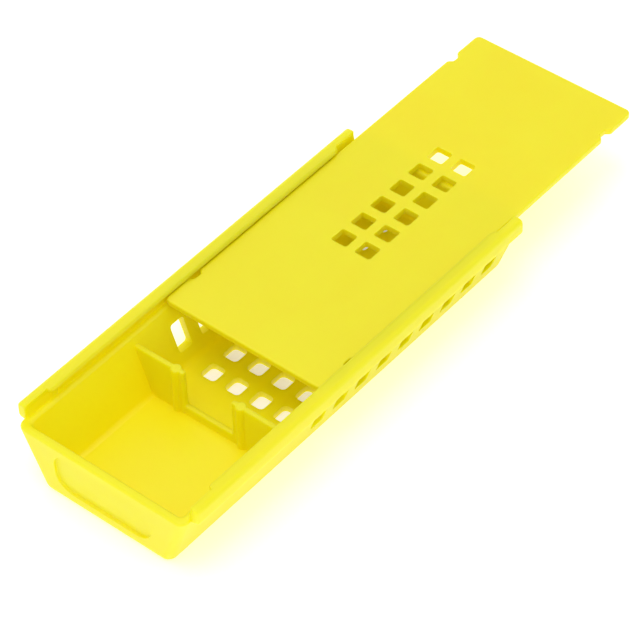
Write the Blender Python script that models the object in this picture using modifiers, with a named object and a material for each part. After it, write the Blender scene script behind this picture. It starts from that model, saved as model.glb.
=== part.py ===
"""Queen cage: an open tray with guide rails, and a flat cover that slides in them.

Frame: +X along the cage, out of the end that the cover is drawn from; +Y across it; +Z up.
The origin is at the middle of the tray's underside. Lengths are in metres.
"""
import math

import bmesh
import bpy
from mathutils import Matrix, Vector

MM = 0.001

# Tray shell: a drafted trough, narrower at the floor than at the rim.
TRAY_LENGTH = 82.0 * MM          # over the end walls, at the rim
TRAY_RIM_WIDTH = 33.4 * MM       # over the side walls, at the rim
TRAY_FLOOR_WIDTH = 25.2 * MM     # over the side walls, at the underside
END_DRAFT = 0.6 * MM             # each end wall leans in by this, rim to underside
RIM_HEIGHT = 11.6 * MM           # top of the end walls, and of the ledge in each rail
SIDE_WALL = 1.5 * MM             # measured level, across the slope
END_WALL = 1.5 * MM
FLOOR_THICKNESS = 1.3 * MM
CORNER_RADIUS = 1.5 * MM         # the four upright corners, outside
UNDERSIDE_RADIUS = 0.8 * MM
CAVITY_RADIUS = 1.0 * MM

# Guide rails: wall, ledge and inward lip, along both long sides.
RAIL_WIDTH = 36.0 * MM           # over both rails
RAIL_HEIGHT = 14.0 * MM          # the highest point of the tray
RAIL_INSET = 2.0 * MM            # from the tray's end to the rail's end
RAIL_WALL = 1.9 * MM             # at the groove's floor
RAIL_WALL_TOP = 1.55 * MM        # at the very top
RAIL_UNDERSIDE = 11.1 * MM       # at the rail's outer face
RAIL_ROOT = 10.8 * MM            # where the rail's sloping underside meets the side wall
LIP_THICKNESS = 0.7 * MM
LIP_GAP = 30.7 * MM              # between the two lips, at their undersides
LIP_GAP_TOP = 31.6 * MM
LIP_SETBACK = 4.8 * MM           # the lip stops this far short of each rail end

# Divider between the candy compartment and the queen's compartment.
DIVIDER_X = -16.3 * MM           # its middle plane
DIVIDER_THICKNESS = 0.95 * MM
DIVIDER_TOP = 10.1 * MM
SILL_TOP = 3.0 * MM
PASSAGE_WIDTH = 9.6 * MM         # between the free edges of the webs
POST_DIAMETER = 1.9 * MM
POST_SPACING = 13.0 * MM         # between the axes of the two posts

# Vents of the queen's compartment.
VENT_ROWS = 9
VENT_PITCH_X = 5.3 * MM
VENT_FIRST_X = -7.4 * MM         # middle of the first row
VENT_COLUMNS = 4
VENT_PITCH_Y = 4.9 * MM
FLOOR_VENT_X = 3.2 * MM
FLOOR_VENT_Y = 2.9 * MM
FLOOR_VENT_CORNER = 0.7 * MM
SLOT_FIRST_X = -7.7 * MM         # middle of the first slot
SLOT_WIDTH = 2.95 * MM
SLOT_BOTTOM = 3.6 * MM
SLOT_TOP = 8.6 * MM
SLOT_CORNER = 0.5 * MM

# Shallow panel sunk into the outside of each end wall.
PANEL_WIDTH = 19.0 * MM
PANEL_BOTTOM = 2.4 * MM
PANEL_TOP = 10.2 * MM
PANEL_RADIUS = 3.0 * MM
PANEL_DEPTH = 0.7 * MM

# Sliding cover.
COVER_LENGTH = 79.4 * MM
COVER_WIDTH = 31.6 * MM
COVER_THICKNESS = 1.2 * MM
COVER_LIFT = 0.25 * MM           # gap between the ledge and the cover's underside
COVER_NEAR_X = -8.3 * MM         # the cover's inner end, where it stands drawn out
COVER_CORNER = 1.0 * MM
COVER_VENT = 3.0 * MM
COVER_VENT_ROWS = 6
COVER_VENT_PITCH_X = 4.85 * MM
COVER_VENT_COLUMNS = 2
COVER_VENT_PITCH_Y = 4.7 * MM
COVER_VENT_CORNER = 0.35 * MM

# Detent: notches in the cover's edges, which meet bumps in the groove when it is shut.
NOTCH_FROM_END = 7.0 * MM
NOTCH_RADIUS = 1.4 * MM
NOTCH_DEPTH = 0.8 * MM
BUMP_HEIGHT = 0.2 * MM
BUMP_RADIUS = 0.8 * MM

# Working allowances.
OVERRUN = 2.0 * MM               # how far a cutter runs past the face it cuts
SEAT = 0.6 * MM                  # how far a joined web is sunk into the wall that carries it
LIP_CUT_SLANT = 0.1              # sideways lean of the lip cutters, per unit of height
TINY = 0.00001                   # merge distance, and the slack in tests on height

# Facets: segments of a quarter turn, or sides of a full one.
CORNER_FACETS = 4
FOOT_FACETS = 3
VENT_FACETS = 2
PANEL_FACETS = 5
ROUND_SIDES = 24
SHARP_ANGLE = math.radians(35.0)  # edges that turn further than this stay sharp

YELLOW = (0.85, 0.72, 0.03, 1.0)
YELLOW_COVER = (0.86, 0.74, 0.04, 1.0)


def clear_scene():
    """Start from an empty scene."""
    for item in list(bpy.data.objects):
        bpy.data.objects.remove(item, do_unlink=True)


def make_collection(name):
    collection = bpy.data.collections.new(name)
    bpy.context.scene.collection.children.link(collection)
    return collection


def plastic(name, colour):
    """Semi-gloss moulded polypropylene."""
    material = bpy.data.materials.new(name)
    material.use_nodes = True
    shader = material.node_tree.nodes["Principled BSDF"]
    shader.inputs["Base Color"].default_value = colour
    shader.inputs["Roughness"].default_value = 0.38
    shader.inputs["Metallic"].default_value = 0.0
    return material


def object_from_bmesh(name, shape, collection):
    """Wrap a bmesh as an object, with outward faces."""
    bmesh.ops.recalc_face_normals(shape, faces=shape.faces)
    mesh = bpy.data.meshes.new(name)
    shape.to_mesh(mesh)
    shape.free()
    item = bpy.data.objects.new(name, mesh)
    collection.objects.link(item)
    return item


def as_cutter(item):
    """Mark an object as construction geometry."""
    item.hide_render = True
    item.display_type = "WIRE"
    return item


def add_boolean(item, other, operation):
    modifier = item.modifiers.new(operation.title() + " " + other.name, "BOOLEAN")
    modifier.operation = operation
    modifier.object = other
    modifier.solver = "EXACT"


def block(size, centre):
    """A box primitive as a bmesh."""
    shape = bmesh.new()
    bmesh.ops.create_cube(shape, size=1.0)
    bmesh.ops.scale(shape, vec=size, verts=shape.verts)
    bmesh.ops.translate(shape, vec=centre, verts=shape.verts)
    return shape


def upright_edges(shape):
    """The edges that climb from the lower face to the upper one."""
    chosen = []
    for edge in shape.edges:
        low, high = sorted(vert.co.z for vert in edge.verts)
        if high - low > TINY:
            chosen.append(edge)
    return chosen


def round_edges(shape, edges, radius, segments):
    """Round the given edges to a radius."""
    bmesh.ops.bevel(
        shape, geom=edges, offset=radius, offset_type="OFFSET", segments=segments,
        profile=0.5, affect="EDGES", clamp_overlap=True,
    )


def drafted_block(bottom_z, top_z, half_length, half_width, corner_radius, foot_radius):
    """A box whose half sizes are functions of height, with round corners and a round foot."""
    shape = block((2.0, 2.0, top_z - bottom_z), (0.0, 0.0, (top_z + bottom_z) / 2))
    for vert in shape.verts:
        vert.co.x *= half_length(vert.co.z)
        vert.co.y *= half_width(vert.co.z)
    round_edges(shape, upright_edges(shape), corner_radius, CORNER_FACETS)
    foot = [edge for edge in shape.edges if all(v.co.z < bottom_z + TINY for v in edge.verts)]
    round_edges(shape, foot, foot_radius, FOOT_FACETS)
    return shape


def shell_half_length(height):
    """Half the tray's outside length at a height."""
    return TRAY_LENGTH / 2 - END_DRAFT * (1.0 - height / RIM_HEIGHT)


def shell_half_width(height):
    """Half the tray's outside width at a height."""
    growth = (TRAY_RIM_WIDTH - TRAY_FLOOR_WIDTH) / 2
    return TRAY_FLOOR_WIDTH / 2 + growth * height / RIM_HEIGHT


def cavity_half_length(height):
    return shell_half_length(height) - END_WALL


def cavity_half_width(height):
    return shell_half_width(height) - SIDE_WALL


def groove_half_width(height):
    """Half the distance between the two rail walls, which thin towards their tops."""
    rise = (height - RIM_HEIGHT) / (RAIL_HEIGHT - RIM_HEIGHT)
    return RAIL_WIDTH / 2 - RAIL_WALL + (RAIL_WALL - RAIL_WALL_TOP) * rise


def rounded_prism(size_x, size_y, radius, bottom_z, top_z, segments):
    """An upright prism with a rounded rectangular outline, centred on the Z axis."""
    shape = block((size_x, size_y, top_z - bottom_z), (0.0, 0.0, (top_z + bottom_z) / 2))
    round_edges(shape, upright_edges(shape), radius, segments)
    return shape


def round_bar(radius, height):
    """An upright cylinder, centred on the origin."""
    shape = bmesh.new()
    bmesh.ops.create_cone(
        shape, cap_ends=True, segments=ROUND_SIDES, radius1=radius, radius2=radius, depth=height,
    )
    return shape


def add_to(target, piece, place):
    """Copy one bmesh into another, moved to its place."""
    bmesh.ops.transform(piece, matrix=place, verts=piece.verts)
    carrier = bpy.data.meshes.new("carrier")
    piece.to_mesh(carrier)
    piece.free()
    target.from_mesh(carrier)
    bpy.data.meshes.remove(carrier)


def centred_steps(count, pitch):
    """Positions of evenly pitched items, centred on zero."""
    return [(index - (count - 1) / 2) * pitch for index in range(count)]


def profile_bar(name, outline, length, middle_x, collection):
    """Extrude an outline, given in (y, z), along X: a flat curve turned into a mesh."""
    curve = bpy.data.curves.new(name, "CURVE")
    curve.dimensions = "2D"
    curve.fill_mode = "BOTH"
    curve.extrude = length / 2
    spline = curve.splines.new("POLY")
    spline.points.add(len(outline) - 1)
    for point, (y, z) in zip(spline.points, outline):
        point.co = (y, z, 0.0, 1.0)
    spline.use_cyclic_u = True
    guide = bpy.data.objects.new(name + "_outline", curve)
    collection.objects.link(guide)
    # The curve's X, Y and Z become world Y, Z and X.
    guide.matrix_world = Matrix.Translation((middle_x, 0.0, 0.0)) @ Matrix(
        ((0.0, 0.0, 1.0, 0.0), (1.0, 0.0, 0.0, 0.0), (0.0, 1.0, 0.0, 0.0), (0.0, 0.0, 0.0, 1.0))
    )
    bpy.context.view_layer.update()
    evaluated = guide.evaluated_get(bpy.context.evaluated_depsgraph_get())
    mesh = bpy.data.meshes.new_from_object(evaluated)
    shape = bmesh.new()
    shape.from_mesh(mesh)
    bmesh.ops.remove_doubles(shape, verts=shape.verts, dist=TINY)
    shape.to_mesh(mesh)
    shape.free()
    item = bpy.data.objects.new(name, mesh)
    collection.objects.link(item)
    item.matrix_world = guide.matrix_world.copy()
    bpy.data.objects.remove(guide, do_unlink=True)
    return item


def settle(item):
    """Apply the joins and cuts, then shade the round faces smooth and leave the corners sharp."""
    bpy.context.view_layer.update()
    evaluated = item.evaluated_get(bpy.context.evaluated_depsgraph_get())
    mesh = bpy.data.meshes.new_from_object(evaluated)
    item.modifiers.clear()
    item.data = mesh
    mesh.shade_smooth()
    mesh.set_sharp_from_angle(angle=SHARP_ANGLE)


def mirror_across(item):
    """Give a one-sided piece its twin on the other long side."""
    modifier = item.modifiers.new("Twin", "MIRROR")
    modifier.use_axis = (True, False, False)
    modifier.use_mirror_merge = False
    modifier.merge_threshold = 0.0001


def make_rails(cutters):
    """Both rails as one mirrored bar: wall, ledge and lip in one outline."""
    outer = RAIL_WIDTH / 2
    lip_under = RAIL_HEIGHT - LIP_THICKNESS
    outline = [
        (cavity_half_width(RAIL_ROOT) + SEAT, RAIL_ROOT), (shell_half_width(RAIL_ROOT), RAIL_ROOT),
        (outer, RAIL_UNDERSIDE), (outer, RAIL_HEIGHT),
        (LIP_GAP_TOP / 2, RAIL_HEIGHT), (LIP_GAP / 2, lip_under),
        (groove_half_width(lip_under), lip_under), (groove_half_width(RIM_HEIGHT), RIM_HEIGHT),
        (cavity_half_width(RIM_HEIGHT) + SEAT, RIM_HEIGHT),
    ]
    rails = profile_bar("rails", outline, TRAY_LENGTH - 2 * RAIL_INSET, 0.0, cutters)
    mirror_across(rails)
    return as_cutter(rails)


def make_lip_cutter(cutters):
    """Blocks that cut the lips back at the four rail ends.

    Their sides lean out a little more than the rail walls do, so that they leave the groove's
    free space just below the lip and take the lip off cleanly.
    """
    shape = bmesh.new()
    lip_end = TRAY_LENGTH / 2 - RAIL_INSET - LIP_SETBACK
    length = LIP_SETBACK + OVERRUN
    crossing = RAIL_HEIGHT - LIP_THICKNESS - COVER_LIFT
    low = crossing - COVER_LIFT
    high = RAIL_HEIGHT + OVERRUN
    for side in (-1, 1):
        cut = block((length, 2.0, high - low), (0.0, 0.0, (high + low) / 2))
        for vert in cut.verts:
            vert.co.y *= groove_half_width(vert.co.z) + LIP_CUT_SLANT * (vert.co.z - crossing)
        add_to(shape, cut, Matrix.Translation((side * (lip_end + length / 2), 0.0, 0.0)))
    return as_cutter(object_from_bmesh("lip_setbacks", shape, cutters))


def make_bumps(cutters):
    """Low round bumps on the groove walls, joined to the tray."""
    shape = bmesh.new()
    groove = groove_half_width(RIM_HEIGHT)
    bump_x = COVER_LENGTH / 2 - NOTCH_FROM_END
    height = RAIL_HEIGHT - LIP_THICKNESS / 2 - (RIM_HEIGHT - SEAT)
    for side_x in (-1, 1):
        for side_y in (-1, 1):
            centre_y = side_y * (groove + BUMP_RADIUS - BUMP_HEIGHT)
            centre = Vector((side_x * bump_x, centre_y, RIM_HEIGHT - SEAT + height / 2))
            add_to(shape, round_bar(BUMP_RADIUS, height), Matrix.Translation(centre))
    return as_cutter(object_from_bmesh("detent_bumps", shape, cutters))


def make_divider(cutters):
    """The divider web with its two posts, before the passage is cut."""
    middle_z = (DIVIDER_TOP + FLOOR_THICKNESS - SEAT) / 2
    height = DIVIDER_TOP - FLOOR_THICKNESS + SEAT
    shape = block((DIVIDER_THICKNESS, 2.0, height), (DIVIDER_X, 0.0, middle_z))
    for vert in shape.verts:
        vert.co.y *= cavity_half_width(vert.co.z) + SEAT
    return as_cutter(object_from_bmesh("divider", shape, cutters))


def make_passage(cutters):
    """Cutter for the open passage between the webs, above the sill."""
    size = (DIVIDER_THICKNESS + OVERRUN, PASSAGE_WIDTH, DIVIDER_TOP - SILL_TOP + OVERRUN)
    shape = block(size, (DIVIDER_X, 0.0, SILL_TOP + size[2] / 2))
    return as_cutter(object_from_bmesh("passage", shape, cutters))


def make_posts(cutters):
    """Round posts that stiffen the divider's webs just short of their free edges."""
    shape = bmesh.new()
    height = DIVIDER_TOP - FLOOR_THICKNESS + SEAT
    middle_z = (DIVIDER_TOP + FLOOR_THICKNESS - SEAT) / 2
    for side in (-1, 1):
        place = Matrix.Translation((DIVIDER_X, side * POST_SPACING / 2, middle_z))
        add_to(shape, round_bar(POST_DIAMETER / 2, height), place)
    return as_cutter(object_from_bmesh("divider_posts", shape, cutters))


def make_floor_vents(cutters):
    """Rounded square prisms through the floor of the queen's compartment."""
    shape = bmesh.new()
    for row in range(VENT_ROWS):
        for y in centred_steps(VENT_COLUMNS, VENT_PITCH_Y):
            hole = rounded_prism(
                FLOOR_VENT_X, FLOOR_VENT_Y, FLOOR_VENT_CORNER,
                -OVERRUN / 2, FLOOR_THICKNESS + OVERRUN / 2, VENT_FACETS,
            )
            add_to(shape, hole, Matrix.Translation((VENT_FIRST_X + row * VENT_PITCH_X, y, 0.0)))
    return as_cutter(object_from_bmesh("floor_vents", shape, cutters))


def make_wall_slots(cutters):
    """Level bars through both side walls: one tall slot beside every row of floor vents."""
    shape = bmesh.new()
    length = TRAY_RIM_WIDTH + OVERRUN
    height = SLOT_TOP - SLOT_BOTTOM
    turn = Matrix.Rotation(math.radians(90.0), 4, "X")
    for row in range(VENT_ROWS):
        slot = rounded_prism(
            SLOT_WIDTH, height, SLOT_CORNER, -length / 2, length / 2, VENT_FACETS,
        )
        centre = Vector((SLOT_FIRST_X + row * VENT_PITCH_X, 0.0, (SLOT_TOP + SLOT_BOTTOM) / 2))
        add_to(shape, slot, Matrix.Translation(centre) @ turn)
    return as_cutter(object_from_bmesh("wall_slots", shape, cutters))


def make_end_panels(cutters):
    """Rounded plates that sink a shallow panel into each end wall, along its slope."""
    shape = bmesh.new()
    height = PANEL_TOP - PANEL_BOTTOM
    middle_z = (PANEL_TOP + PANEL_BOTTOM) / 2
    lean = math.atan2(END_DRAFT, RIM_HEIGHT)
    for side in (-1, 1):
        plate = rounded_prism(
            height, PANEL_WIDTH, PANEL_RADIUS, -PANEL_DEPTH, OVERRUN, PANEL_FACETS,
        )
        turn = Matrix.Rotation(side * (math.radians(90.0) + lean), 4, "Y")
        centre = Vector((side * shell_half_length(middle_z), 0.0, middle_z))
        add_to(shape, plate, Matrix.Translation(centre) @ turn)
    return as_cutter(object_from_bmesh("end_panels", shape, cutters))


def make_cavity(cutters):
    """The whole inside of the tray as one drafted block."""
    shape = drafted_block(
        FLOOR_THICKNESS, RIM_HEIGHT + OVERRUN, cavity_half_length, cavity_half_width,
        CAVITY_RADIUS, CAVITY_RADIUS / 2,
    )
    return as_cutter(object_from_bmesh("cavity", shape, cutters))


def make_tray(parts, cutters):
    """The moulded tray."""
    shell = drafted_block(
        0.0, RIM_HEIGHT, shell_half_length, shell_half_width, CORNER_RADIUS, UNDERSIDE_RADIUS,
    )
    tray = object_from_bmesh("tray_body", shell, parts)
    add_boolean(tray, make_cavity(cutters), "DIFFERENCE")
    add_boolean(tray, make_rails(cutters), "UNION")
    add_boolean(tray, make_lip_cutter(cutters), "DIFFERENCE")
    add_boolean(tray, make_divider(cutters), "UNION")
    add_boolean(tray, make_passage(cutters), "DIFFERENCE")
    add_boolean(tray, make_posts(cutters), "UNION")
    add_boolean(tray, make_bumps(cutters), "UNION")
    add_boolean(tray, make_floor_vents(cutters), "DIFFERENCE")
    add_boolean(tray, make_wall_slots(cutters), "DIFFERENCE")
    add_boolean(tray, make_end_panels(cutters), "DIFFERENCE")
    settle(tray)
    tray.data.materials.append(plastic("tray_yellow", YELLOW))
    return tray


def make_cover_cutter(cutters):
    """Vent prisms and edge notches of the cover, about the cover's own middle."""
    shape = bmesh.new()
    low = -COVER_THICKNESS / 2 - OVERRUN / 2
    high = COVER_THICKNESS / 2 + OVERRUN / 2
    for x in centred_steps(COVER_VENT_ROWS, COVER_VENT_PITCH_X):
        for y in centred_steps(COVER_VENT_COLUMNS, COVER_VENT_PITCH_Y):
            hole = rounded_prism(
                COVER_VENT, COVER_VENT, COVER_VENT_CORNER, low, high, VENT_FACETS,
            )
            add_to(shape, hole, Matrix.Translation((x, y, 0.0)))
    notch_x = COVER_LENGTH / 2 - NOTCH_FROM_END
    notch_y = COVER_WIDTH / 2 + NOTCH_RADIUS - NOTCH_DEPTH
    for side_x in (-1, 1):
        for side_y in (-1, 1):
            place = Matrix.Translation((side_x * notch_x, side_y * notch_y, 0.0))
            add_to(shape, round_bar(NOTCH_RADIUS, high - low), place)
    return as_cutter(object_from_bmesh("cover_vents_and_notches", shape, cutters))


def make_cover(parts, cutters):
    """The moulded cover plate, with its origin at its own middle, on the slide's line."""
    plate = rounded_prism(
        COVER_LENGTH, COVER_WIDTH, COVER_CORNER,
        -COVER_THICKNESS / 2, COVER_THICKNESS / 2, CORNER_FACETS,
    )
    cover = object_from_bmesh("sliding_cover", plate, parts)
    cutter = make_cover_cutter(cutters)
    middle = Vector((
        COVER_NEAR_X + COVER_LENGTH / 2, 0.0, RIM_HEIGHT + COVER_LIFT + COVER_THICKNESS / 2,
    ))
    cover.location = middle
    cutter.parent = cover
    add_boolean(cover, cutter, "DIFFERENCE")
    settle(cover)
    cover.data.materials.append(plastic("cover_yellow", YELLOW_COVER))
    return cover


clear_scene()
parts_collection = make_collection("queen_cage")
cutters_collection = make_collection("construction")
make_tray(parts_collection, cutters_collection)
make_cover(parts_collection, cutters_collection)
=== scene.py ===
"""A moulded plastic queen cage: a vented tray with rails, and a vented cover that slides in them."""
import math

import bmesh
import bpy
from mathutils import Matrix, Quaternion, Vector


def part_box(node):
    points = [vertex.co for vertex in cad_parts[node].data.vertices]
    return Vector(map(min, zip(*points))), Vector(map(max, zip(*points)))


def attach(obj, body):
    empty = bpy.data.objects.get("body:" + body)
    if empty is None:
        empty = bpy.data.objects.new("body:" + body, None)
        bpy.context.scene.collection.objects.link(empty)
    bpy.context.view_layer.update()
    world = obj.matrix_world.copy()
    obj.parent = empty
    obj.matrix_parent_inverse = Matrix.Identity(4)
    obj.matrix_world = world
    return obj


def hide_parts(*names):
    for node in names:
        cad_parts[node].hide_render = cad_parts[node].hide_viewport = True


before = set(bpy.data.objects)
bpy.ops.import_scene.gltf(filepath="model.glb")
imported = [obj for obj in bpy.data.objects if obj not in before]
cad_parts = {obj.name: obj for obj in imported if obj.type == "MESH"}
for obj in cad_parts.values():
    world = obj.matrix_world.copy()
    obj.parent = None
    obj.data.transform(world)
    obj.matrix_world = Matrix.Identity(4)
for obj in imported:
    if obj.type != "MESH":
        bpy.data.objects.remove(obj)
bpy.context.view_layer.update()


# ---------------------------------------------------------------------------------------------
# The trough. One moulding in yellow polypropylene carries everything but the cover. Its walls
# lean out by the mould's draft, and its corners, rim and foot are rounded so that it draws off
# the core cleanly and has no sharp edge.
MM = 0.001
tray_low, tray_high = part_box("tray_body")
half_length_at_rim = tray_high.x
half_width_at_rim = 16.7 * MM
half_width_at_foot = 12.6 * MM
rim_height = 11.6 * MM
end_draft = 0.6 * MM
wall = 1.5 * MM
floor_thickness = 1.3 * MM
foot_radius = 1.0 * MM
rim_radius = 0.5 * MM
cove_radius = 0.7 * MM
corner_outside = 1.5 * MM
corner_inside = 0.8 * MM
quarter_turn = math.pi / 2


def tray_half_length(height):
    """Half the trough's outside length at a height."""
    return half_length_at_rim - end_draft * (1 - height / rim_height)


def tray_half_width(height):
    """Half the trough's outside width at a height."""
    return half_width_at_foot + (half_width_at_rim - half_width_at_foot) * height / rim_height


def round_corners(corners, steps):
    """Turn (x, y, radius) corners into an outline with an arc at each corner."""
    points = []
    for index, (x, y, radius) in enumerate(corners):
        corner = Vector((x, y))
        back = (Vector(corners[index - 1][:2]) - corner).normalized()
        ahead = (Vector(corners[(index + 1) % len(corners)][:2]) - corner).normalized()
        half_angle = back.angle(ahead) / 2
        centre = corner + (back + ahead).normalized() * radius / math.sin(half_angle)
        first = corner + back * radius / math.tan(half_angle) - centre
        last = corner + ahead * radius / math.tan(half_angle) - centre
        start = math.atan2(first.y, first.x)
        sweep = (math.atan2(last.y, last.x) - start + math.pi) % (2 * math.pi) - math.pi
        for step in range(steps + 1):
            angle = start + sweep * step / steps
            points.append(centre + radius * Vector((math.cos(angle), math.sin(angle))))
    return points


def round_rectangle(half_x, half_y, radius, steps=6):
    """An anticlockwise rounded rectangle about the origin."""
    signs = ((1, 1), (-1, 1), (-1, -1), (1, -1))
    return round_corners([(sx * half_x, sy * half_y, radius) for sx, sy in signs], steps)


def quarter_round(radius, steps=5):
    """(rise, inset) pairs round a convex edge, from its flat face to its upright one."""
    angles = [quarter_turn * step / steps for step in range(steps + 1)]
    return [(radius * (1 - math.cos(a)), radius * (1 - math.sin(a))) for a in angles]


def skin(name, rings):
    """A closed object skinned over rings of equal point counts, with both ends capped."""
    shape = bmesh.new()
    rows = [[shape.verts.new(point) for point in ring] for ring in rings]
    for row, above in zip(rows, rows[1:]):
        for index in range(len(row)):
            after = (index + 1) % len(row)
            shape.faces.new((row[index], row[after], above[after], above[index]))
    shape.faces.new(rows[0])
    shape.faces.new(rows[-1])
    bmesh.ops.recalc_face_normals(shape, faces=shape.faces)
    mesh = bpy.data.meshes.new(name)
    shape.to_mesh(mesh)
    shape.free()
    item = bpy.data.objects.new(name, mesh)
    bpy.context.scene.collection.objects.link(item)
    return item


# (height, distance in from the outside face, corner radius): up the outside, over the rim, and
# down the inside to the floor.
trough_rows = []
for rise, inward in quarter_round(foot_radius):
    trough_rows.append((rise, inward, corner_outside - inward))
for rise, inward in reversed(quarter_round(rim_radius)):
    trough_rows.append((rim_height - rise, inward, corner_outside))
for rise, inward in quarter_round(rim_radius):
    trough_rows.append((rim_height - rise, wall - inward, corner_inside))
for rise, inward in reversed(quarter_round(cove_radius)):
    trough_rows.append((floor_thickness + rise, wall + inward, corner_inside - inward / 2))

trough_rings = []
for height, inward, radius in trough_rows:
    half_x = tray_half_length(height) - inward
    half_y = tray_half_width(height) - inward
    outline = round_rectangle(half_x, half_y, radius)
    trough_rings.append([(x, y, height) for x, y in outline])
tray = skin("tray", trough_rings)


# ---------------------------------------------------------------------------------------------
# The two guide rails, moulded on along the long sides. Each is a wall that stands on the trough's
# edge and a thin lip that leans in over the cover's edge. The lip stops short of both rail ends,
# where the cover is fed in.
rail_half_width = tray_high.y
rail_top = tray_high.z
rail_setback = 2.0 * MM              # how far the rails stop short of the trough's ends
rail_half_length = half_length_at_rim - rail_setback
groove_half_width = 16.1 * MM        # at the ledge
groove_half_width_top = 16.45 * MM
lip_thickness = 0.7 * MM
lip_under = rail_top - lip_thickness
lip_reach_under = 15.35 * MM         # half the gap between the lips, at their undersides
lip_reach_top = 15.8 * MM
lip_setback = 4.8 * MM
lip_corner = 1.1 * MM                # the lip's end corners, seen from above
rail_end_radius = 0.4 * MM
rail_foot = 11.1 * MM                # the rail's sloping underside, at its outer face
rail_root = 10.72 * MM               # and where it is let into the trough's wall
lip_blend = 0.32 * MM                # how far down the groove's wall a cut-back lip dies away
# The section's corner radii, from the root outwards and over the top to under the lip.
root_radius = 0.3 * MM
outer_foot_radius = 0.7 * MM
outer_top_radius = 0.8 * MM
lip_top_radius = 0.25 * MM
lip_tip_radius = 0.14 * MM
lip_root_radius = 0.1 * MM
arc_steps = 5
lip_swing_steps = 8


def groove_wall(height):
    """How far out the groove's wall stands at a height."""
    lean = (groove_half_width_top - groove_half_width) / (rail_top - rim_height)
    return groove_half_width + lean * (height - rim_height)


def rail_section(reach):
    """Corners of the rail's section in (y, z), with its lip at a share of its full reach."""
    shoulder = rail_top - lip_blend
    bare_lip = Vector((groove_half_width_top, rail_top)), Vector((groove_wall(shoulder), shoulder))
    full_lip = Vector((lip_reach_top, rail_top)), Vector((lip_reach_under, lip_under))
    lip = [bare.lerp(full, reach) for bare, full in zip(bare_lip, full_lip)]
    return [
        (groove_wall(rail_root), rail_root, root_radius),
        (rail_half_width, rail_foot, outer_foot_radius),
        (rail_half_width, rail_top, outer_top_radius),
        (*lip[0], lip_top_radius),
        (*lip[1], lip_tip_radius),
        (groove_wall(lip_under), lip_under, lip_root_radius),
    ]


def inset(corners, distance):
    """Move an anticlockwise outline's corners inwards: outer radii tighten, inner ones open."""
    least_radius = 0.02 * MM
    moved = []
    for index, (x, y, radius) in enumerate(corners):
        corner = Vector((x, y))
        before = (corner - Vector(corners[index - 1][:2])).normalized()
        after = (Vector(corners[(index + 1) % len(corners)][:2]) - corner).normalized()
        inward = (before + after).normalized().orthogonal()
        corner += inward * distance / inward.dot(before.orthogonal())
        turn = math.copysign(1.0, before.cross(after))
        moved.append((*corner, max(radius - turn * distance, least_radius)))
    return moved


least_reach = 0.1                    # what is left of the lip where it is cut back
lip_end = rail_half_length - lip_setback
rail_rows = []
for rise, inward in quarter_round(rail_end_radius):
    rail_rows.append((rail_half_length - rise, inward, least_reach))
for step in range(lip_swing_steps + 1):
    # The lip swings in from the rail's wall round a quarter ellipse.
    angle = quarter_turn * step / lip_swing_steps
    reach = max(least_reach, math.sin(angle))
    rail_rows.append((lip_end - lip_corner * (1 - math.cos(angle)), 0.0, reach))
rail_rows += [(-x, inward, reach) for x, inward, reach in reversed(rail_rows)]

rail_rings = [
    [(x, y, z) for y, z in round_corners(inset(rail_section(reach), inward), arc_steps)]
    for x, inward, reach in rail_rows
]
rails = [skin("rail_left", rail_rings)]
rails.append(skin("rail_right", [[(x, -y, z) for x, y, z in ring] for ring in rail_rings]))


# ---------------------------------------------------------------------------------------------
# The divider between the candy and the queen. Two thin webs run in from the side walls, each with
# a round post near its free edge to stop it bending. A low sill joins them across the passage that
# the bees eat their way through.
divider_x = -16.3 * MM
web_half = 0.475 * MM
web_top = 10.1 * MM
sill_top = 3.0 * MM
passage_half_width = 4.8 * MM
post_radius = 0.95 * MM
post_y = 6.5 * MM
post_proud = 0.05 * MM               # how far a post's top stands above the webs
sunk = 0.6 * MM                      # how far a web is let into the wall or floor that carries it
web_edge = 0.3 * MM
web_corner = 0.35 * MM


def soft_plate(name, corners, half_thickness, edge, place):
    """An upright plate with rounded edges: the corners are in (y, z), the thickness along X."""
    rows = [(rise - half_thickness, inward) for rise, inward in quarter_round(edge, 3)]
    rows += [(-offset, inward) for offset, inward in reversed(rows)]
    rings = [
        [(place + offset, y, z) for y, z in round_corners(inset(corners, inward), 4)]
        for offset, inward in rows
    ]
    return skin(name, rings)


# Half of the plate's outline, round the left web and down to the sill, then its mirror image.
floor_sunk = floor_thickness - sunk
web_corners = [
    (tray_half_width(floor_sunk) - wall + sunk, floor_sunk, web_corner),
    (tray_half_width(web_top) - wall + sunk, web_top, web_corner),
    (passage_half_width, web_top, web_corner),
    (passage_half_width, sill_top, web_corner),
]
web_corners += [(-y, z, radius) for y, z, radius in reversed(web_corners)]
divider = soft_plate("divider", web_corners, web_half, web_edge, divider_x)


def round_post(name, x, y, radius, bottom, top, edge, sides=32):
    """An upright round bar with a rounded top edge."""
    rows = [(bottom, 0.0)]
    rows += [(top - rise, inward) for rise, inward in reversed(quarter_round(edge, 4))]
    angles = [2 * math.pi * side / sides for side in range(sides)]
    rings = [
        [
            (x + (radius - inward) * math.cos(angle), y + (radius - inward) * math.sin(angle), z)
            for angle in angles
        ]
        for z, inward in rows
    ]
    return skin(name, rings)


post_top = web_top + post_proud
posts = [
    round_post("post", divider_x, side * post_y, post_radius, floor_sunk, post_top, web_edge)
    for side in (-1, 1)
]


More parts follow.
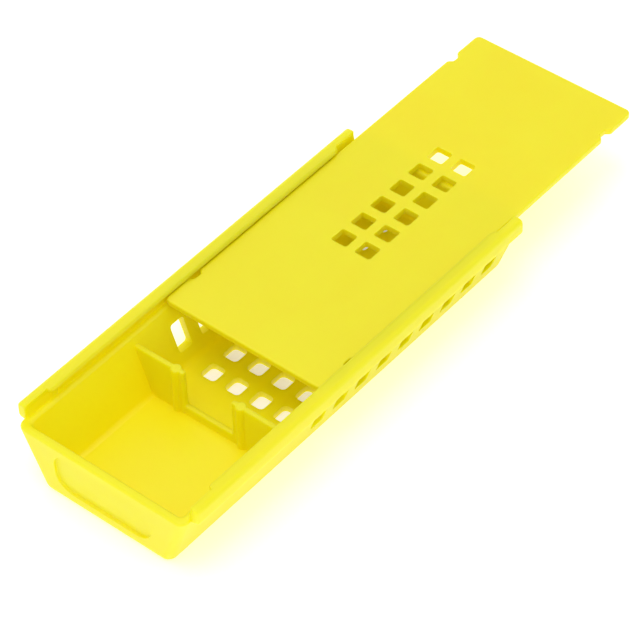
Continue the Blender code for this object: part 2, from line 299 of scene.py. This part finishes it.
# ---------------------------------------------------------------------------------------------
# The detent bumps. Four low ribs on the groove walls drop into notches in the cover's edges when
# the cage is shut, and hold it with a click.
cover_low, cover_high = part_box("sliding_cover")
cover_half_length = (cover_high.x - cover_low.x) / 2
notch_from_end = 7.0 * MM
bump_height = 0.2 * MM
bump_radius = 0.8 * MM
bump_edge = 0.1 * MM
bump_bottom = rim_height - sunk
bump_top = lip_under + sunk / 2
bump_x = cover_half_length - notch_from_end
bump_y = groove_half_width + bump_radius - bump_height
bumps = [
    round_post("bump", sx * bump_x, sy * bump_y, bump_radius, bump_bottom, bump_top, bump_edge)
    for sx in (-1, 1) for sy in (-1, 1)
]


# ---------------------------------------------------------------------------------------------
# The end panels. A shallow rounded field is sunk into the outside of each end wall, where a
# beekeeper's thumb pushes.
panel_half_width = 9.5 * MM
panel_bottom = 2.4 * MM
panel_top = 10.2 * MM
panel_radius = 3.0 * MM
panel_depth = 0.5 * MM
panel_lip = 0.26 * MM
panel_cove = 0.25 * MM
cutter_steps = 4
clear = 0.03 * MM                    # how far above a face a cutter's flare ends
overrun = 0.8 * MM


def flare_rows(face, radius, outward):
    """(place, growth) pairs where a cutter opens out at a face, to leave that edge rounded."""
    rows = [
        (face + outward * (clear - inward), rise)
        for rise, inward in quarter_round(radius, cutter_steps)
    ]
    rows.append((face + outward * overrun, radius))
    return rows if outward > 0 else rows[::-1]


def panel_cutter(side):
    """A rounded plug that leans with the end wall, coved at its foot and flared at its mouth."""
    middle = (panel_top + panel_bottom) / 2
    half_height = (panel_top - panel_bottom) / 2
    cove = quarter_round(panel_cove, cutter_steps)
    rows = [(rise - panel_depth, -inward) for rise, inward in cove]
    rows += flare_rows(0.0, panel_lip, 1)
    rings = []
    for out, growth in rows:
        outline = round_rectangle(
            panel_half_width + growth, half_height + growth, panel_radius + growth,
        )
        rings.append([
            (side * (tray_half_length(middle + z) + out), y, middle + z) for y, z in outline
        ])
    return skin("panel_plug", rings)


panel_plugs = [panel_cutter(side) for side in (-1, 1)]


# ---------------------------------------------------------------------------------------------
# The tray's vents. Pins in the mould leave nine rows of four square holes in the queen's floor,
# and one tall slot beside each row in both side walls. All are too narrow for a worker bee.
vent_rows = 9
vent_pitch = 5.3 * MM
first_vent_x = -7.4 * MM
walls_with_slots = 2
floor_vent_columns = 4
floor_vent_pitch = 4.9 * MM
floor_vent_half = (1.6 * MM, 1.45 * MM)
floor_vent_corner = 0.7 * MM
first_slot_x = -7.7 * MM
slot_half_width = 1.475 * MM
slot_bottom = 3.6 * MM
slot_top = 8.6 * MM
slot_corner = 0.5 * MM
vent_edge = 0.12 * MM

floor_pin_rings = []
for height, growth in flare_rows(0.0, vent_edge, -1) + flare_rows(floor_thickness, vent_edge, 1):
    outline = round_rectangle(
        floor_vent_half[0] + growth, floor_vent_half[1] + growth, floor_vent_corner + growth,
        cutter_steps,
    )
    floor_pin_rings.append([(x, y, height) for x, y in outline])
floor_pin = skin("floor_pin", floor_pin_rings)

slot_middle = (slot_top + slot_bottom) / 2
slot_half_height = (slot_top - slot_bottom) / 2
slot_wall_y = tray_half_width(slot_middle)
slot_pin_rings = []
for out, growth in flare_rows(-wall, vent_edge, -1) + flare_rows(0.0, vent_edge, 1):
    outline = round_rectangle(
        slot_half_width + growth, slot_half_height + growth, slot_corner + growth, cutter_steps,
    )
    slot_pin_rings.append([
        (x, tray_half_width(slot_middle + z) - slot_wall_y + out, slot_middle + z) for x, z in outline
    ])
slot_pin = skin("slot_pin", slot_pin_rings)


def make_vent_tree():
    """Nodes that cut a grid of vents: a pin is set at every grid point and taken from the piece."""
    tree = bpy.data.node_groups.new("cut_vent_grid", "GeometryNodeTree")
    sockets = {}
    for name, kind in (
        ("Piece", "Geometry"), ("Pin", "Object"), ("Rows", "Int"), ("Columns", "Int"),
        ("Row Pitch", "Float"), ("Column Pitch", "Float"), ("First Row X", "Float"),
        ("Plastic", "Material"),
    ):
        made = tree.interface.new_socket(name, in_out="INPUT", socket_type="NodeSocket" + kind)
        sockets[name] = made.identifier
    tree.interface.new_socket("Piece", in_out="OUTPUT", socket_type="NodeSocketGeometry")

    def node(kind, **settings):
        made = tree.nodes.new(kind)
        for key, value in settings.items():
            setattr(made, key, value)
        return made

    def arithmetic(operation, first, second):
        made = node("ShaderNodeMath", operation=operation)
        for socket, value in zip(made.inputs, (first, second)):
            if isinstance(value, bpy.types.NodeSocket):
                tree.links.new(value, socket)
            else:
                socket.default_value = value
        return made.outputs[0]

    given = node("NodeGroupInput").outputs
    row_gaps = arithmetic("SUBTRACT", given["Rows"], 1.0)
    row_span = arithmetic("MULTIPLY", row_gaps, given["Row Pitch"])
    column_gaps = arithmetic("SUBTRACT", given["Columns"], 1.0)
    column_span = arithmetic("MULTIPLY", column_gaps, given["Column Pitch"])
    grid = node("GeometryNodeMeshGrid")
    tree.links.new(row_span, grid.inputs["Size X"])
    tree.links.new(column_span, grid.inputs["Size Y"])
    tree.links.new(given["Rows"], grid.inputs["Vertices X"])
    tree.links.new(given["Columns"], grid.inputs["Vertices Y"])
    middle = node("ShaderNodeCombineXYZ")
    middle_x = arithmetic("ADD", given["First Row X"], arithmetic("MULTIPLY", row_span, 0.5))
    tree.links.new(middle_x, middle.inputs["X"])
    placed = node("GeometryNodeTransform")
    tree.links.new(grid.outputs["Mesh"], placed.inputs["Geometry"])
    tree.links.new(middle.outputs["Vector"], placed.inputs["Translation"])

    # Pins on the far side of the middle line are turned about, so that both walls' slots match.
    where = node("ShaderNodeSeparateXYZ")
    tree.links.new(node("GeometryNodeInputPosition").outputs["Position"], where.inputs["Vector"])
    half_turn = arithmetic("MULTIPLY", arithmetic("LESS_THAN", where.outputs["Y"], 0.0), math.pi)
    turn = node("ShaderNodeCombineXYZ")
    tree.links.new(half_turn, turn.inputs["Z"])

    pin = node("GeometryNodeObjectInfo", transform_space="ORIGINAL")
    pin.inputs["As Instance"].default_value = True
    tree.links.new(given["Pin"], pin.inputs["Object"])
    pins = node("GeometryNodeInstanceOnPoints")
    tree.links.new(placed.outputs["Geometry"], pins.inputs["Points"])
    tree.links.new(pin.outputs["Geometry"], pins.inputs["Instance"])
    tree.links.new(turn.outputs["Vector"], pins.inputs["Rotation"])
    pin_block = node("GeometryNodeRealizeInstances")
    tree.links.new(pins.outputs["Instances"], pin_block.inputs["Geometry"])

    cut = node("GeometryNodeMeshBoolean", operation="DIFFERENCE", solver="EXACT")
    tree.links.new(given["Piece"], cut.inputs["Mesh 1"])
    tree.links.new(pin_block.outputs["Geometry"], cut.inputs["Mesh 2"])
    whole = node("GeometryNodeRealizeInstances")
    tree.links.new(cut.outputs["Mesh"], whole.inputs["Geometry"])
    coloured = node("GeometryNodeSetMaterial")
    tree.links.new(whole.outputs["Geometry"], coloured.inputs["Geometry"])
    tree.links.new(given["Plastic"], coloured.inputs["Material"])
    tree.links.new(coloured.outputs["Geometry"], node("NodeGroupOutput").inputs["Piece"])
    return tree, sockets


vent_tree, vent_sockets = make_vent_tree()


def cut_vents(piece, **settings):
    """Add the vent nodes to a piece, with their inputs set by identifier."""
    modifier = piece.modifiers.new("vents", "NODES")
    modifier.node_group = vent_tree
    for name, value in settings.items():
        modifier[vent_sockets[name.replace("_", " ")]] = value


# ---------------------------------------------------------------------------------------------
# The plastic. Polypropylene coloured right through with a yellow masterbatch: bright, satin and
# slightly translucent, so that light spreads in the thin walls. It has a faint cloudiness from
# the flow in the mould, and a fine grain from the mould's surface.
cloud_scale = 70.0                   # the noise scales, per metre
ripple_scale = 160.0
satin_scale = 260.0
grain_scale = 2600.0
ripple_depth = 0.15 * MM
grain_depth = 0.02 * MM
polypropylene_ior = 1.49


def moulded_yellow(name, bright, deep, scatter):
    """A satin translucent plastic, its colour drifting between two close yellows.

    scatter is about how far red light spreads inside it.
    """
    material = bpy.data.materials.new(name)
    material.use_nodes = True
    nodes, links = material.node_tree.nodes, material.node_tree.links
    shader = nodes["Principled BSDF"]
    place = nodes.new("ShaderNodeTexCoord").outputs["Object"]

    def noise(scale, detail, distortion=0.0):
        made = nodes.new("ShaderNodeTexNoise")
        made.inputs["Scale"].default_value = scale
        made.inputs["Detail"].default_value = detail
        made.inputs["Distortion"].default_value = distortion
        links.new(place, made.inputs["Vector"])
        return made.outputs["Fac"]

    cloud = nodes.new("ShaderNodeMapRange")
    cloud.inputs["From Min"].default_value = 0.35
    cloud.inputs["From Max"].default_value = 0.65
    links.new(noise(cloud_scale, 3.0, 0.6), cloud.inputs["Value"])
    tint = nodes.new("ShaderNodeMix")
    tint.data_type = "RGBA"
    tint.inputs["A"].default_value = (*bright, 1.0)
    tint.inputs["B"].default_value = (*deep, 1.0)
    links.new(cloud.outputs["Result"], tint.inputs["Factor"])
    links.new(tint.outputs["Result"], shader.inputs["Base Color"])

    satin = nodes.new("ShaderNodeMapRange")
    satin.inputs["To Min"].default_value = 0.36
    satin.inputs["To Max"].default_value = 0.5
    links.new(noise(satin_scale, 4.0), satin.inputs["Value"])
    links.new(satin.outputs["Result"], shader.inputs["Roughness"])

    grain = nodes.new("ShaderNodeBump")
    grain.inputs["Strength"].default_value = 0.25
    grain.inputs["Distance"].default_value = grain_depth
    links.new(noise(grain_scale, 2.0), grain.inputs["Height"])
    ripple = nodes.new("ShaderNodeBump")
    ripple.inputs["Strength"].default_value = 0.3
    ripple.inputs["Distance"].default_value = ripple_depth
    links.new(noise(ripple_scale, 1.0, 0.4), ripple.inputs["Height"])
    links.new(ripple.outputs["Normal"], grain.inputs["Normal"])
    links.new(grain.outputs["Normal"], shader.inputs["Normal"])

    shader.inputs["IOR"].default_value = polypropylene_ior
    shader.inputs["Subsurface Weight"].default_value = 1.0
    shader.inputs["Subsurface Radius"].default_value = (1.0, 0.9, 0.1)
    shader.inputs["Subsurface Scale"].default_value = scatter
    return material


tray_plastic = moulded_yellow("tray_plastic", (0.97, 0.83, 0.006), (0.96, 0.81, 0.003), 2.5 * MM)


# ---------------------------------------------------------------------------------------------
# The tray comes out of the mould in one piece, so its features are fused into one body, and its
# panels and vents are cut through the result.
def join_or_cut(piece, others, operation):
    """Fuse other shapes into a piece, or cut them from it, one after another."""
    for other in others:
        modifier = piece.modifiers.new(other.name, "BOOLEAN")
        modifier.operation = operation
        modifier.solver = "EXACT"
        modifier.object = other


sharp_angle = math.radians(38.0)
large_face_weight = 80               # how strongly flat faces hold their shading against fillets


def settle(piece, *spent):
    """Turn a piece and its modifiers into a plain mesh, smooth but for its true edges."""
    def plain():
        bpy.context.view_layer.update()
        evaluated = piece.evaluated_get(bpy.context.evaluated_depsgraph_get())
        mesh = bpy.data.meshes.new_from_object(evaluated)
        piece.modifiers.clear()
        piece.data = mesh
        return mesh

    mesh = plain()
    mesh.shade_smooth()
    mesh.set_sharp_from_angle(angle=sharp_angle)
    even = piece.modifiers.new("even_normals", "WEIGHTED_NORMAL")
    even.keep_sharp = True
    even.weight = large_face_weight
    plain()
    for item in spent:
        bpy.data.objects.remove(item, do_unlink=True)


join_or_cut(tray, rails + [divider] + posts + bumps, "UNION")
join_or_cut(tray, panel_plugs, "DIFFERENCE")
cut_vents(
    tray, Pin=floor_pin, Rows=vent_rows, Columns=floor_vent_columns, Row_Pitch=vent_pitch,
    Column_Pitch=floor_vent_pitch, First_Row_X=first_vent_x, Plastic=tray_plastic,
)
cut_vents(
    tray, Pin=slot_pin, Rows=vent_rows, Columns=walls_with_slots, Row_Pitch=vent_pitch,
    Column_Pitch=2 * slot_wall_y, First_Row_X=first_slot_x, Plastic=tray_plastic,
)
settle(tray, *rails, divider, *posts, *bumps, *panel_plugs, floor_pin, slot_pin)
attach(tray, "tray")
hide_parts("tray_body")


# ---------------------------------------------------------------------------------------------
# The sliding cover. A flat moulded plate with a block of twelve square vents in its middle, all
# its edges eased, and a small notch near each corner for the detent.
cover_middle = (cover_low + cover_high) / 2
cover_half_width = (cover_high.y - cover_low.y) / 2
cover_corner = 1.0 * MM
cover_edge = 0.28 * MM
notch_half_width = 1.35 * MM
notch_root_half_width = notch_half_width / 2
notch_depth = 0.8 * MM
notch_shoulder_radius = 0.55 * MM
notch_root_radius = 0.35 * MM
cover_vent_half = 1.5 * MM
cover_vent_corner = 0.35 * MM
cover_vent_rows = 6
cover_vent_row_pitch = 4.85 * MM
cover_vent_columns = 2
cover_vent_column_pitch = 4.7 * MM

side_corners = [(cover_half_length, cover_half_width, cover_corner)]
for end in (1, -1):
    notch_x = end * (cover_half_length - notch_from_end)
    root_y = cover_half_width - notch_depth
    side_corners += [
        (notch_x + notch_half_width, cover_half_width, notch_shoulder_radius),
        (notch_x + notch_root_half_width, root_y, notch_root_radius),
        (notch_x - notch_root_half_width, root_y, notch_root_radius),
        (notch_x - notch_half_width, cover_half_width, notch_shoulder_radius),
    ]
side_corners.append((-cover_half_length, cover_half_width, cover_corner))
cover_corners = side_corners + [(-x, -y, radius) for x, y, radius in side_corners]

eased_edge = quarter_round(cover_edge, 4)
cover_rows = [(cover_low.z + rise, inward) for rise, inward in eased_edge]
cover_rows += [(cover_high.z - rise, inward) for rise, inward in reversed(eased_edge)]
cover = skin("cover", [
    [(cover_middle.x + x, y, z) for x, y in round_corners(inset(cover_corners, inward), 6)]
    for z, inward in cover_rows
])

cover_pin_rings = []
cover_pin_rows = flare_rows(cover_low.z, vent_edge, -1) + flare_rows(cover_high.z, vent_edge, 1)
for height, growth in cover_pin_rows:
    half = cover_vent_half + growth
    outline = round_rectangle(half, half, cover_vent_corner + growth, cutter_steps)
    cover_pin_rings.append([(x, y, height) for x, y in outline])
cover_pin = skin("cover_pin", cover_pin_rings)

cover_plastic = moulded_yellow("cover_plastic", (0.96, 0.84, 0.005), (0.95, 0.82, 0.003), 0.8 * MM)
cut_vents(
    cover, Pin=cover_pin, Rows=cover_vent_rows, Columns=cover_vent_columns,
    Row_Pitch=cover_vent_row_pitch, Column_Pitch=cover_vent_column_pitch,
    First_Row_X=cover_middle.x - (cover_vent_rows - 1) / 2 * cover_vent_row_pitch,
    Plastic=cover_plastic,
)
settle(cover, cover_pin)
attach(cover, "cover")
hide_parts("sliding_cover")


# ---------------------------------------------------------------------------------------------
# The floor: a plain white sheet, wide enough to fill every view. It glows a little of its own,
# so that it stays white right up to the cage.
floor_half_size = 4.0
floor_gap = 0.02 * MM
floor_shape = bmesh.new()
bmesh.ops.create_grid(floor_shape, x_segments=1, y_segments=1, size=floor_half_size)
floor_mesh = bpy.data.meshes.new("floor")
floor_shape.to_mesh(floor_mesh)
floor_shape.free()
floor_mesh.transform(Matrix.Translation((0.0, 0.0, tray_low.z - floor_gap)))
floor = bpy.data.objects.new("floor", floor_mesh)
bpy.context.scene.collection.objects.link(floor)
white_sheet = bpy.data.materials.new("white_sheet")
white_sheet.use_nodes = True
sheet_shader = white_sheet.node_tree.nodes["Principled BSDF"]
sheet_shader.inputs["Base Color"].default_value = (0.92, 0.92, 0.92, 1.0)
sheet_shader.inputs["Roughness"].default_value = 0.9
sheet_shader.inputs["Specular IOR Level"].default_value = 0.1
sheet_shader.inputs["Emission Color"].default_value = (1.0, 1.0, 1.0, 1.0)
sheet_shader.inputs["Emission Strength"].default_value = 0.38
floor.data.materials.append(white_sheet)


# ---------------------------------------------------------------------------------------------
# The light: an even white studio all round, a large soft panel overhead, and a weak one behind.
studio = bpy.data.worlds.new("studio")
studio.use_nodes = True
studio.node_tree.nodes["Background"].inputs["Color"].default_value = (1.0, 1.0, 1.0, 1.0)
studio.node_tree.nodes["Background"].inputs["Strength"].default_value = 0.71
bpy.context.scene.world = studio
bpy.context.scene.view_settings.view_transform = "Standard"


def soft_panel(name, place, size, power):
    """A square soft light aimed at the cage."""
    light = bpy.data.lights.new(name, "AREA")
    light.size = size
    light.energy = power
    item = bpy.data.objects.new(name, light)
    item.location = place
    item.rotation_euler = (-Vector(place)).to_track_quat("-Z", "Y").to_euler()
    bpy.context.scene.collection.objects.link(item)


soft_panel("key_panel", (-0.1, 0.0, 1.0), 0.5, 2.4)
soft_panel("back_panel", (0.5, 0.6, 0.6), 0.5, 0.2)


# ---------------------------------------------------------------------------------------------
# The camera: a long lens that looks down over the candy end, from about half a metre away.
camera_data = bpy.data.cameras.new("camera")
camera_data.sensor_width = 36.0
camera_data.lens = 179.7
camera_data.clip_start = 0.01
camera = bpy.data.objects.new("camera", camera_data)
camera.location = (-0.2562, -0.2339, 0.3597)
camera_aim = Vector((8.15, -1.6, 6.0)) * MM
camera_roll = math.radians(-2.44)
level = (camera_aim - camera.location).to_track_quat("-Z", "Y")
camera.rotation_euler = (level @ Quaternion((0.0, 0.0, 1.0), camera_roll)).to_euler()
bpy.context.scene.collection.objects.link(camera)
bpy.context.scene.camera = camera
